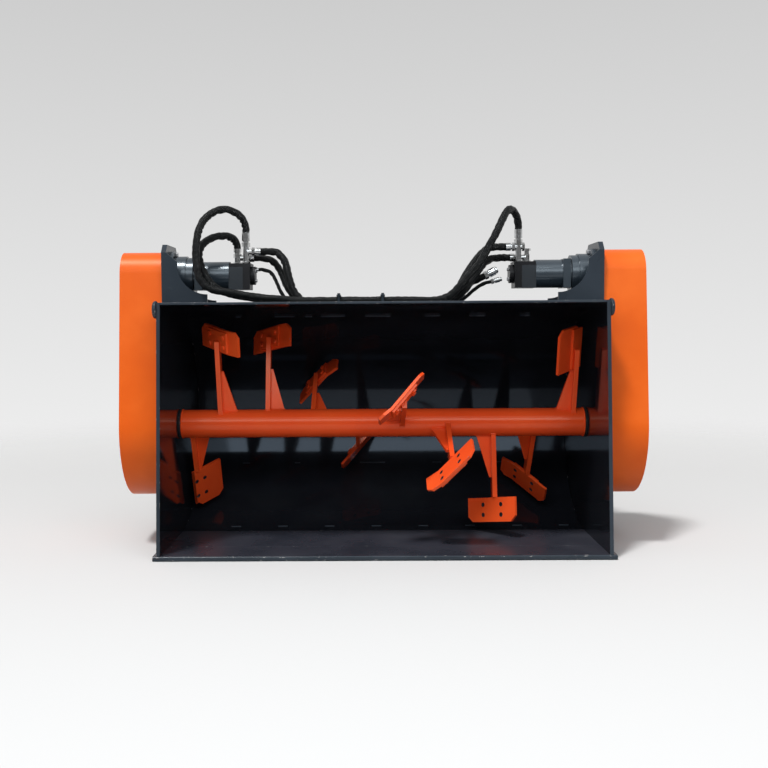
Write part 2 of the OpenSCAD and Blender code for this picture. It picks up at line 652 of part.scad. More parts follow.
module motor_shaft() color(steel)
    round_bar(side_x - housing_l + shaft_play, sprocket_x + small_hub_out + shaft_play * 2,
        motor_shaft_dia / 2, motor_c);

// Hose routes, drawn for the default sizes: across, depth, height. A point far above the plate moves with the
// motors, one near it with the top plate.
route_a = [[-578, 331, 1335], [-578, 331, 1362], [-592, 322, 1396], [-630, 305, 1425], [-678, 287, 1429],
    [-724, 262, 1404], [-756, 230, 1353], [-768, 209, 1286], [-769, 202, 1212], [-757, 197, 1142],
    [-712, 196, 1095], [-640, 196, 1080], [-510, 196, 1058], [-340, 195, 1043], [235, 195, 1043],
    [290, 192, 1070], [345, 189, 1130], [400, 190, 1195], [438, 194, 1262], [470, 200, 1320],
    [500, 220, 1379], [524, 250, 1415], [551, 292, 1417], [572, 322, 1391], [578, 331, 1364],
    [578, 331, 1341]];
route_b = [[-620, 375, 1270], [-620, 375, 1275], [-622, 373, 1291], [-630, 368, 1307], [-642, 359, 1318],
    [-658, 347, 1323], [-683, 329, 1322], [-709, 308, 1315], [-734, 287, 1302], [-753, 267, 1283],
    [-763, 252, 1257], [-765, 242, 1228], [-758, 237, 1198], [-745, 233, 1168], [-728, 230, 1136],
    [-702, 228, 1105], [-650, 228, 1078], [-540, 227, 1056], [-360, 226, 1040], [265, 228, 1040],
    [315, 250, 1090], [352, 280, 1150], [400, 306, 1218], [450, 327, 1262], [495, 331, 1268],
    [525, 331, 1268]];
route_c = [[-515, 331, 1255], [-490, 331, 1255], [-445, 326, 1250], [-412, 310, 1212], [-395, 290, 1150],
    [-372, 273, 1086], [-320, 260, 1037], [275, 258, 1037], [342, 277, 1080], [394, 302, 1150],
    [449, 346, 1212], [508, 375, 1225], [548, 375, 1225]];
supply_route = [[-548, 375, 1231], [-520, 375, 1231], [-470, 370, 1218], [-435, 355, 1174], [-408, 332, 1112],
    [-370, 308, 1062], [-305, 290, 1034], [-165, 290, 1034], [-25, 290, 1034], [115, 290, 1034],
    [250, 290, 1034], [318, 302, 1060], [365, 330, 1110], [406, 342, 1131], [436, 346, 1146]];
drain_route = [[-528, 353, 1180], [-508, 353, 1180], [-474, 352, 1166], [-452, 347, 1128], [-430, 340, 1080],
    [-396, 328, 1042], [-345, 315, 1027], [-195, 314, 1027], [-45, 314, 1027], [105, 313, 1027],
    [255, 312, 1027], [335, 324, 1044], [394, 344, 1090], [434, 353, 1114], [465, 353, 1122]];
port_a_x = 578;
port_b_x = 620;
drawn_side = 900;
drawn_motor = [356, 1154];
drawn_lip = [89, 1037];
drawn_slope = 0.0857;
lie_z = 1060;
port_z = 1180;
function limit(v, low, high) = max(low, min(high, v));
function laid(route) = [for (p = route) let (w = limit((p[2] - lie_z) / (port_z - lie_z), 0, 1),
    u = limit(p[0] / port_a_x, -1, 1), lie = top_z(p[1]) - drawn_lip[1] + drawn_slope * (p[1] - drawn_lip[0]))
    [p[0] + u * (side_x - drawn_side), p[1] + w * (motor_c[0] - drawn_motor[0]),
        p[2] + w * (motor_c[1] - drawn_motor[1]) + (1 - w) * lie]];
hose_a_at = laid(route_a);
hose_b_at = laid(route_b);
hose_c_at = laid(route_c);
supply_at = laid(supply_route);
drain_at = laid(drain_route);

// A tube swept along points by carrying one side direction from ring to ring
function dir(v) = v / norm(v);
function tangents(p) = [for (i = [0 : len(p) - 1]) i == 0 ? dir(p[1] - p[0]) : i == len(p) - 1
    ? dir(p[i] - p[i - 1]) : dir(dir(p[i + 1] - p[i]) + dir(p[i] - p[i - 1]))];
function square_to(n, t) = dir(n - t * (n * t));
function sides_along(t) = [for (i = 0, n = square_to([0, 1, 0], t[0]); i < len(t);
    i = i + 1, n = i < len(t) ? square_to(n, t[i]) : n) n];
tube_sides = 10;
module tube(p, dia) let (t = tangents(p), n = sides_along(t), m = tube_sides, last = (len(p) - 1) * m)
    translate([0, yd(0), 0]) polyhedron(
        points = [for (i = [0 : len(p) - 1], j = [0 : m - 1])
            p[i] + dia / 2 * (n[i] * cos(360 * j / m) + cross(t[i], n[i]) * sin(360 * j / m))],
        faces = concat([[for (j = [0 : m - 1]) j]], [[for (j = [m - 1 : -1 : 0]) last + j]],
            [for (i = [0 : len(p) - 2], j = [0 : m - 1]) let (a = i * m + j, b = i * m + (j + 1) % m)
                each [[a, a + m, b + m], [a, b + m, b]]]));

// Fittings: a column on each of a motor's two ports, with a ferrule where each hose starts
fit_r = 13;
fit_hex = 18;
branch_r = 12;
plug_r = 11;
ferrule_r = 17;
ferrule_l = 42;
side_ferrule_l = 38;
plug_out = 26;
module column(x, d, z1) {
    upright(x, d, block_top, z1, fit_r);
    upright(x, d, block_top, block_top + fit_hex / 2, fit_hex, $fn = 6);
}
// An upright ferrule with its nut below it, ending at the start p of a hose
module ferrule_up(p, l) {
    upright(p[0], p[1], p[2] - l - fit_hex, p[2] - l, fit_hex, $fn = 6);
    upright(p[0], p[1], p[2] - l - fit_hex, p[2], fit_r);
    upright(p[0], p[1], p[2] - l + fit_hex / 3, p[2], ferrule_r);
}
// The same from the column at x, level, on the right-hand side of the start p of a hose
module ferrule_left(p, x, l) {
    round_bar(p[0], x, branch_r, [p[1], p[2]]);
    round_bar(p[0], p[0] + l - fit_hex, ferrule_r, [p[1], p[2]]);
    hex_across(p[0] + l - fit_hex * 2 / 3, p[0] + l, fit_hex, [p[1], p[2]]);
}
// Plugs that close the tees, one beside column a and one on top of column b
module plug_right(x, d, z) {
    round_bar(x - plug_r / 2, x + plug_out, plug_r, [d, z]);
    hex_across(x + 0.6 * plug_out, x + plug_out, fit_hex, [d, z]);
}
module plug_up(x, d, z) {
    upright(x, d, z, z + plug_out, plug_r);
    upright(x, d, z + 0.6 * plug_out, z + plug_out, fit_hex, $fn = 6);
}
function mirrored(p) = [-p[0], p[1], p[2]];
drain_nut_r = 10;
module fittings_left() color(steel) left_side() {
    let (a = mirrored(hose_a_at[0]), c = mirrored(hose_c_at[0])) {
        column(a[0], a[1], a[2] - ferrule_l);
        ferrule_up(a, ferrule_l);
        ferrule_left(c, a[0], side_ferrule_l);
    }
    let (b = mirrored(hose_b_at[0]), s = mirrored(supply_at[0])) {
        column(b[0], b[1], b[2] - ferrule_l / 2);
        ferrule_up(b, ferrule_l / 2);
        ferrule_left(s, b[0], side_ferrule_l);
    }
    let (p = mirrored(drain_at[0]), x = side_x - cap_end) {
        hex_across(p[0] + drain_dia / 3, x, drain_nut_r, [p[1], p[2]]);
        round_bar(p[0], x, drain_dia / 2, [p[1], p[2]]);
    }
}
function last(p) = p[len(p) - 1];
module fittings_right() color(steel) {
    let (a = last(hose_a_at), b = last(hose_b_at)) {
        column(a[0], a[1], a[2] - ferrule_l);
        ferrule_up(a, ferrule_l);
        ferrule_left(b, a[0], side_ferrule_l);
        plug_right(a[0], a[1], b[2]);
    }
    let (c = last(hose_c_at), x = side_x - drawn_side + port_b_x) {
        column(x, c[1], c[2] + fit_r);
        ferrule_left(c, x, side_ferrule_l);
        plug_up(x, c[1], c[2] + fit_r - over);
    }
}
module hose_a() color(black) tube(hose_a_at, hose_dia);
module hose_b() color(black) tube(hose_b_at, hose_dia);
module hose_c() color(black) tube(hose_c_at, hose_dia);
module supply_hose() color(black) tube(supply_at, hose_dia);
module drain_hose() color(black) tube(drain_at, drain_dia);

// Quick couplers at the ends of the supply hose and the drain hose, for the loader's own lines
module from_end(p) let (e = last(p), v = e - p[len(p) - 2])
    translate([e[0], yd(e[1]), e[2]]) rotate([0, acos(v[2] / norm(v)), atan2(v[1], v[0])]) children();
// A coupler of radius r and length l: nut, sliding collar and nose
module coupler(r, l) {
    cylinder(h = l, r = 0.7 * r);
    cylinder(h = l / 4, r = r, $fn = 6);
    translate([0, 0, l / 3]) cylinder(h = l * 0.45, r = r);
    translate([0, 0, l * 0.84]) cylinder(h = l * 0.1, r = 0.86 * r);
}
supply_coupler_r = 18;
supply_coupler_l = 62;
drain_coupler_r = 11;
drain_coupler_l = 48;
module supply_coupler() color(steel) from_end(supply_at) coupler(supply_coupler_r, supply_coupler_l);
module drain_coupler() color(steel) from_end(drain_at) coupler(drain_coupler_r, drain_coupler_l);

// Hose clamps: a flat bar over the row of hoses, on a spacer and a bolt at each end
clamp_share = [-0.2, 0];
clamp_w = 18;
clamp_t = 5;
clamp_over = 1.5;
clamp_d = [154, 346];
spacer_r = 6;
clamp_head = 7;
module hose_clamps() color(dark) for (k = clamp_share) let (x = k * side_x, up = hose_dia + clamp_over)
    difference() {
        union() {
            across(x - clamp_w / 2, x + clamp_w / 2) polygon([
                [clamp_d[0], top_z(clamp_d[0]) + up], [clamp_d[1], top_z(clamp_d[1]) + up],
                [clamp_d[1], top_z(clamp_d[1]) + up + clamp_t],
                [clamp_d[0], top_z(clamp_d[0]) + up + clamp_t]]);
            for (d = [clamp_d[0] + clamp_w / 2, clamp_d[1] - clamp_w / 2]) {
                upright(x, d, top_z(d) - clamp_over, top_z(d) + up + clamp_t / 2, spacer_r);
                upright(x, d, top_z(d) + up, top_z(d) + up + clamp_t + clamp_head, spacer_r, $fn = 6);
            }
        }
        across(x - clamp_w, x + clamp_w) polygon([lip_in, fold_p, fold_out, lip_out]);
    }

rolled_back();
top_plate();
floor_plate();
cutting_edge();
left_side() side_plate();  // side_plate_left
side_plate();  // side_plate_right
corner_bosses();
motor_plates();
motor_gussets();
back_stiffeners();
coupler_ribs();
coupler_plate();
hook_rail();
lock_ledge();
left_side() chain_case();  // chain_case_left
chain_case();  // chain_case_right
left_side() case_lid();  // case_lid_left
case_lid();  // case_lid_right
lid_bolts();
left_side() bearing_housing();  // bearing_housing_left
bearing_housing();  // bearing_housing_right
bearing_races();
bearing_bolts();
shaft_seals();
mixer_tube();
stub_shafts();
left_side() large_sprocket();  // large_sprocket_left
large_sprocket();  // large_sprocket_right
mixer_arms();
at_arm(0) blade(0);  // blade_1
at_arm(1) blade(1);  // blade_2
at_arm(2) blade(2);  // blade_3
at_arm(3) blade(3);  // blade_4
at_arm(4) blade(4);  // blade_5
at_arm(5) blade(5);  // blade_6
at_arm(6) blade(6);  // blade_7
at_arm(7) blade(7);  // blade_8
at_arm(8) blade(8);  // blade_9
at_arm(9) blade(9);  // blade_10
blade_bolts();
left_side() chain();  // chain_left
chain();  // chain_right
left_side() motor();  // motor_left
motor();  // motor_right
motor_caps();
motor_bolts();
left_side() motor_shaft();  // motor_shaft_left
motor_shaft();  // motor_shaft_right
left_side() small_sprocket();  // small_sprocket_left
small_sprocket();  // small_sprocket_right
fittings_left();
fittings_right();
hose_a();
hose_b();
hose_c();
supply_hose();
drain_hose();
supply_coupler();
drain_coupler();
hose_clamps();
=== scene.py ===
from math import cos, pi, radians, sin, tau

import bmesh
import bpy
from mathutils import Matrix, Vector, noise


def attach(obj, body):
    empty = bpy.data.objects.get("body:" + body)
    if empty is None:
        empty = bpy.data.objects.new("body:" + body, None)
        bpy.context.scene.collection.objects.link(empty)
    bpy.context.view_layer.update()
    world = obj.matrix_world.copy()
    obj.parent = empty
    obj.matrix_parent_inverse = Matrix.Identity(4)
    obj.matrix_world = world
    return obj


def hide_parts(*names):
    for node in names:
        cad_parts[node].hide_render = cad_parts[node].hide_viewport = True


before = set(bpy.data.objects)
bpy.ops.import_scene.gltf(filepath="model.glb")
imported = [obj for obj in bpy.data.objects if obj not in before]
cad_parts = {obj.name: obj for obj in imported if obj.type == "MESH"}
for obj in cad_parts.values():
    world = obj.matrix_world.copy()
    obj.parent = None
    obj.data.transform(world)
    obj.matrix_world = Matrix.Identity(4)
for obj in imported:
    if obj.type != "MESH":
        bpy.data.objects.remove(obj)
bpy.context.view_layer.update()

# Camera: it stands four metres in front of the cutting edge, a little lower than the top plate's front edge,
# and looks slightly down into the open mouth.
camera_at = Vector((-0.0516, -4.5546, 0.953))
camera_turn, camera_dip, camera_roll = 0.0096, -0.0588, 0.0065
across = Vector((cos(camera_turn), sin(camera_turn), 0))
ahead = Vector((-sin(camera_turn) * cos(camera_dip), cos(camera_turn) * cos(camera_dip), sin(camera_dip)))
upward = across.cross(ahead)
camera_right = cos(camera_roll) * across - sin(camera_roll) * upward
camera_up = sin(camera_roll) * across + cos(camera_roll) * upward
lens = bpy.data.cameras.new("camera")
lens.sensor_width, lens.lens = 36, 47.51
lens.shift_x, lens.shift_y = 0.0301, -0.0028
camera = bpy.data.objects.new("camera", lens)
camera_axes = Matrix((camera_right, camera_up, -ahead)).transposed()
camera.matrix_world = Matrix.Translation(camera_at) @ camera_axes.to_4x4()
bpy.context.scene.collection.objects.link(camera)
bpy.context.scene.camera = camera

# Hydraulic hoses: rubber pressure hoses in black woven sleeves, laid over the top plate between the two
# motors. The supply hose and the thinner drain hose end in quick couplers for the carrier's own lines.
MM = 0.001
DEPTH_ZERO = 553.5


def laid_route(points, step=0.005):
    """Even points along a smooth curve through a route of x, depth and height in millimetres"""
    knots = [Vector((x * MM, (d - DEPTH_ZERO) * MM, z * MM)) for x, d, z in points]
    fine = []
    for a, b in zip(knots, knots[1:]):
        runs = max(1, round((b - a).length / 0.11))
        fine += [a.lerp(b, k / runs) for k in range(runs)]
    fine.append(knots[-1])
    ends = [2 * fine[0] - fine[1]] + fine + [2 * fine[-1] - fine[-2]]
    dense = []
    for p, q, r, s in zip(ends, ends[1:], ends[2:], ends[3:]):
        for k in range(12):
            t = k / 12
            dense.append(0.5 * (2 * q + (r - p) * t + (2 * p - 5 * q + 4 * r - s) * t * t
                                + (3 * q - p - 3 * r + s) * t ** 3))
    dense.append(fine[-1])
    travelled = [0.0]
    for a, b in zip(dense, dense[1:]):
        travelled.append(travelled[-1] + (b - a).length)
    count = max(2, round(travelled[-1] / step))
    even, k = [], 0
    for i in range(count + 1):
        along = travelled[-1] * i / count
        while k < len(dense) - 2 and travelled[k + 1] < along:
            k += 1
        span = travelled[k + 1] - travelled[k]
        even.append(dense[k].lerp(dense[k + 1], min(1, (along - travelled[k]) / span)))
    return even


def path_length(path):
    return sum((b - a).length for a, b in zip(path, path[1:]))


def add_mesh(name, mesh):
    piece = bpy.data.objects.new(name, mesh)
    bpy.context.scene.collection.objects.link(piece)
    return piece


def sleeved_hose(name, path, radius, seed, crease):
    """A closed tube along a path, creased the way a loose woven sleeve gathers, most on the inside of a bend"""
    bm = bmesh.new()
    unwrapped = bm.loops.layers.uv.new("sleeve")
    sides, rings = 20, []
    side = Vector((0, 1, 0))
    along = 0.0
    for i, point in enumerate(path):
        heading = (path[min(i + 1, len(path) - 1)] - path[max(i - 1, 0)]).normalized()
        side = (side - side.dot(heading) * heading).normalized()
        other = heading.cross(side)
        if i:
            along += (point - path[i - 1]).length
        ring = []
        fade = min(1, i / 5, (len(path) - 1 - i) / 5)
        ahead_of, behind = path[min(i + 4, len(path) - 1)], path[max(i - 4, 0)]
        bend = (ahead_of - point).normalized() - (point - behind).normalized()
        bunch = min(1, bend.length / 0.3)
        inward = bend.normalized() if bend.length > 1e-6 else Vector()
        for k in range(sides):
            a = tau * k / sides
            out = cos(a) * side + sin(a) * other
            fold = noise.noise(Vector((along * 26 + seed, 1.1 * cos(a), 1.1 * sin(a))))
            ripple = noise.noise(Vector((along * 95, 2.2 * cos(a) + seed, 2.2 * sin(a))))
            wander = noise.noise(Vector((along * 9, seed, 1.5 * sin(a))))
            gather = abs(sin(pi * along / 0.031 + 4 * wander)) ** 1.5 - 0.3
            inside = max(0, out.dot(inward)) * bunch
            r = radius * (1 + fade * (crease * (fold + 0.6 * ripple) + (0.09 + 0.3 * inside) * gather))
            ring.append(bm.verts.new(point + r * out))
        rings.append((along, ring))
    for (s0, low), (s1, high) in zip(rings, rings[1:]):
        for k in range(sides):
            m = (k + 1) % sides
            face = bm.faces.new((low[k], low[m], high[m], high[k]))
            for loop, uv in zip(face.loops, ((k, s0), (k + 1, s0), (k + 1, s1), (k, s1))):
                loop[unwrapped].uv = (uv[0] * tau * radius / sides, uv[1])
    bm.faces.new(rings[0][1][::-1])
    bm.faces.new(rings[-1][1])
    for face in bm.faces:
        face.smooth = len(face.verts) == 4
    mesh = bpy.data.meshes.new(name)
    bm.to_mesh(mesh)
    bm.free()
    return add_mesh(name, mesh)


def new_finish(name, **constants):
    """A material with its shader's plain numbers set, and a short way to add and join nodes"""
    finish = bpy.data.materials.new(name)
    finish.use_nodes = True
    tree = finish.node_tree
    shader = tree.nodes["Principled BSDF"]
    for socket, value in constants.items():
        shader.inputs[socket.replace("_", " ")].default_value = value

    def add(kind, **settings):
        node = tree.nodes.new(kind)
        for key, value in settings.items():
            if hasattr(node, key):
                setattr(node, key, value)
            else:
                node.inputs[key.replace("_", " ")].default_value = value
        return node

    return finish, shader, add, tree.links.new


def ramp_of(add, stops):
    """A colour ramp with the given places and colours"""
    ramp = add("ShaderNodeValToRGB")
    ramp.color_ramp.elements[0].position, ramp.color_ramp.elements[0].color = stops[0][0], (*stops[0][1], 1)
    ramp.color_ramp.elements[1].position, ramp.color_ramp.elements[1].color = stops[-1][0], (*stops[-1][1], 1)
    for place, colour in stops[1:-1]:
        ramp.color_ramp.elements.new(place).color = (*colour, 1)
    return ramp


def woven_sleeve():
    """Black plastic yarn in a fine weave, rubbed grey and dusty in random patches"""
    finish, shader, add, join = new_finish("woven_hose_sleeve", Specular_IOR_Level=0.26)
    lie = add("ShaderNodeUVMap", uv_map="sleeve")
    turn = add("ShaderNodeMapping")
    turn.inputs["Rotation"].default_value = (0, 0, radians(45))
    join(lie.outputs["UV"], turn.inputs["Vector"])
    weave = add("ShaderNodeTexChecker", Scale=900.0)
    join(turn.outputs["Vector"], weave.inputs["Vector"])
    place = add("ShaderNodeTexCoord")
    dust = add("ShaderNodeTexNoise", Scale=60.0, Detail=6.0, Roughness=0.7)
    join(place.outputs["Object"], dust.inputs["Vector"])
    black_yarn, rubbed, dusted = (0.003, 0.0034, 0.0038), (0.006, 0.0068, 0.0072), (0.024, 0.026, 0.027)
    shade = ramp_of(add, [(0.35, black_yarn), (0.6, rubbed), (0.72, dusted)])
    join(dust.outputs["Fac"], shade.inputs["Fac"])
    join(shade.outputs["Color"], shader.inputs["Base Color"])
    rough = add("ShaderNodeMapRange", To_Min=0.26, To_Max=0.5)
    join(dust.outputs["Fac"], rough.inputs["Value"])
    join(rough.outputs["Result"], shader.inputs["Roughness"])
    # small wrinkles across the sleeve, over the threads
    wrinkled = add("ShaderNodeMapping")
    wrinkled.inputs["Scale"].default_value = (30, 150, 1)
    join(lie.outputs["UV"], wrinkled.inputs["Vector"])
    wrinkles = add("ShaderNodeTexNoise", Scale=1.0, Detail=3.0, Roughness=0.5)
    join(wrinkled.outputs["Vector"], wrinkles.inputs["Vector"])
    height = add("ShaderNodeMath", operation="MULTIPLY_ADD")
    height.inputs[1].default_value = 5.0
    join(wrinkles.outputs["Fac"], height.inputs[0])
    join(weave.outputs["Fac"], height.inputs[2])
    raised = add("ShaderNodeBump", Strength=0.8, Distance=0.0009)
    join(height.outputs["Value"], raised.inputs["Height"])
    join(raised.outputs["Normal"], shader.inputs["Normal"])
    return finish


def carried_on(path, before, after):
    """The path with a straight stretch more at each end, where its sleeve is pushed over the ferrule"""
    first, last = (path[0] - path[1]).normalized(), (path[-1] - path[-2]).normalized()
    steps = [0.5, 1]
    return ([path[0] + first * before * t for t in steps[::-1] if before] + path
            + [path[-1] + last * after * t for t in steps if after])


hose_radius, drain_radius = 14 * MM, 7.5 * MM
sleeve = woven_sleeve()
pressure_routes = {
    "hose_a": [(-578, 331, 1335), (-578, 331, 1362), (-592, 322, 1396), (-630, 305, 1425), (-678, 287, 1429),
               (-724, 262, 1404), (-756, 230, 1353), (-768, 209, 1286), (-769, 202, 1212), (-757, 197, 1142),
               (-712, 196, 1095), (-640, 196, 1080), (-510, 196, 1058), (-340, 195, 1043), (235, 195, 1043),
               (290, 192, 1070), (345, 189, 1130), (400, 190, 1195), (438, 194, 1262), (470, 200, 1320),
               (500, 220, 1379), (524, 250, 1415), (551, 292, 1417), (572, 322, 1391), (578, 331, 1364),
               (578, 331, 1341)],
    "hose_b": [(-620, 375, 1270), (-620, 375, 1275), (-622, 373, 1291), (-630, 368, 1307), (-642, 359, 1318),
               (-658, 347, 1323), (-683, 329, 1322), (-709, 308, 1315), (-734, 287, 1302), (-753, 267, 1283),
               (-763, 252, 1257), (-765, 242, 1228), (-758, 237, 1198), (-745, 233, 1168), (-728, 230, 1136),
               (-702, 228, 1105), (-650, 228, 1078), (-540, 227, 1056), (-360, 226, 1040), (265, 228, 1040),
               (315, 250, 1090), (352, 280, 1150), (400, 306, 1218), (450, 327, 1262), (495, 331, 1268),
               (525, 331, 1268)],
    "hose_c": [(-515, 331, 1255), (-490, 331, 1255), (-445, 326, 1250), (-412, 310, 1212), (-395, 290, 1150),
               (-372, 273, 1086), (-320, 260, 1037), (275, 258, 1037), (342, 277, 1080), (394, 302, 1150),
               (449, 346, 1212), (508, 375, 1225), (548, 375, 1225)]}
sleeve_over = {"hose_a": (12 * MM, 17 * MM), "hose_b": (0, 14 * MM), "hose_c": (0, 6 * MM)}
for seed, (node, points) in enumerate(pressure_routes.items()):
    path = carried_on(laid_route(points), *sleeve_over[node])
    hose = sleeved_hose(node + "_sleeved", path, 1.06 * hose_radius, 7.3 * seed, 0.11)
    hose.data.materials.append(sleeve)
    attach(hose, "bucket")
    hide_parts(node)

supply_route = [(-548, 375, 1231), (-520, 375, 1231), (-470, 370, 1218), (-435, 355, 1174), (-408, 332, 1112),
                (-370, 308, 1062), (-305, 290, 1034), (-165, 290, 1034), (-25, 290, 1034), (115, 290, 1034),
                (250, 290, 1034), (318, 302, 1060), (365, 330, 1110), (406, 342, 1131), (436, 346, 1146)]
drain_route = [(-528, 353, 1180), (-508, 353, 1180), (-474, 352, 1166), (-452, 347, 1128), (-430, 340, 1080),
               (-396, 328, 1042), (-345, 315, 1027), (-195, 314, 1027), (-45, 314, 1027), (105, 313, 1027),
               (255, 312, 1027), (335, 324, 1044), (394, 344, 1090), (434, 353, 1114), (465, 353, 1122)]
free_hoses = []
for node, points, radius in (("supply_hose", supply_route, hose_radius),
                             ("drain_hose", drain_route, drain_radius)):
    path = laid_route(points)
    hose = sleeved_hose(node + "_sleeved", path, radius, 31 + len(node), 0.09)
    hose.data.materials.append(sleeve)
    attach(hose, "bucket")
    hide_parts(node)
    free_hoses.append((hose, path, radius))


# Quick couplers and hose fittings: zinc-plated steel turned and hexagon parts. Every hose is held in a
# crimped ferrule, and the supply and drain hoses end in sliding-collar couplers that lie on the hoses.
def rolled_edges(node, width, segments=2, sharp=32):
    """A merged copy of a part's solid whose edges are rolled off, with each rolled face marked as worn"""
    bm = bmesh.new()
    bm.from_mesh(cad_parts[node].data)
    bmesh.ops.remove_doubles(bm, verts=bm.verts, dist=2e-6)
    bmesh.ops.dissolve_limit(bm, angle_limit=radians(0.5), verts=bm.verts, edges=bm.edges)
    worn = bm.faces.layers.float.new("worn")
    edges = [e for e in bm.edges if len(e.link_faces) == 2 and e.calc_face_angle(0) > radians(sharp)]
    rolled = bmesh.ops.bevel(bm, geom=edges, offset=width, offset_type="OFFSET", segments=segments, profile=0.5,
                             affect="EDGES", clamp_overlap=True)
    for face in rolled["faces"]:
        face[worn] = 1
    for face in bm.faces:
        face.smooth = True
    mesh = bpy.data.meshes.new(node)
    bm.to_mesh(mesh)
    bm.free()
    mesh.set_sharp_from_angle(angle=radians(42))
    return mesh


SHAFT_DEPTH, SHAFT_HEIGHT, HALF_DRUM = 500, 505, 900


def faces_the_load(centre, normal):
    """True for a face that looks into the drum: an inner side face, or one turned towards the shaft"""
    to_shaft = Vector((0, (SHAFT_DEPTH - DEPTH_ZERO) * MM - centre.y, SHAFT_HEIGHT * MM - centre.z))
    if abs(normal.x) > 0.9:
        return abs(centre.x) < (HALF_DRUM + 1) * MM and normal.x * centre.x < 0
    return to_shaft.dot(normal) > 0.35 * to_shaft.length and abs(centre.x) < HALF_DRUM * MM


def even_shading(piece):
    """Lets the broad faces keep their own flat shading beside the rolled edges"""
    weigh = piece.modifiers.new("even_shading", "WEIGHTED_NORMAL")
    weigh.keep_sharp = True


def finished_part(node, body, finish, width, segments=2, sharp=32, inside=None):
    """A part with rolled edges and its finish, standing for its solid"""
    piece = add_mesh(node + "_finished", rolled_edges(node, width, segments, sharp))
    piece.data.materials.clear()
    piece.data.materials.append(finish)
    if inside:
        piece.data.materials.append(inside)
        for face in piece.data.polygons:
            face.material_index = 1 if faces_the_load(face.center, face.normal) else 0
    even_shading(piece)
    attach(piece, body)
    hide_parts(node)
    return piece


def plated_steel(name, bright, dull, roughness, grain):
    """Turned or plated metal: slight turning marks, and dull patches where it has been handled"""
    finish, shader, add, join = new_finish(name, Metallic=1.0, Anisotropic=0.3)
    place = add("ShaderNodeTexCoord")
    patches = add("ShaderNodeTexNoise", Scale=45.0, Detail=5.0, Roughness=0.6)
    join(place.outputs["Object"], patches.inputs["Vector"])
    shade = ramp_of(add, [(0.35, dull), (0.6, bright)])
    join(patches.outputs["Fac"], shade.inputs["Fac"])
    join(shade.outputs["Color"], shader.inputs["Base Color"])
    rough = add("ShaderNodeMapRange", To_Min=roughness[0], To_Max=roughness[1])
    join(patches.outputs["Fac"], rough.inputs["Value"])
    join(rough.outputs["Result"], shader.inputs["Roughness"])
    marks = add("ShaderNodeTexNoise", Scale=grain, Detail=2.0)
    join(place.outputs["Object"], marks.inputs["Vector"])
    raised = add("ShaderNodeBump", Strength=0.06, Distance=0.0004)
    join(marks.outputs["Fac"], raised.inputs["Height"])
    join(raised.outputs["Normal"], shader.inputs["Normal"])
    return finish


zinc = plated_steel("bright_zinc", (0.68, 0.69, 0.7), (0.46, 0.46, 0.45), (0.1, 0.24), 900.0)
for side in ("left", "right"):
    finished_part("fittings_" + side, "bucket", zinc, 0.8 * MM)
couplers = [finished_part(node, "bucket", zinc, 0.8 * MM)
            for node in ("supply_coupler", "drain_coupler")]
for (hose, path, radius), coupler in zip(free_hoses, couplers):
    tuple(path[0])
    path_length(path)


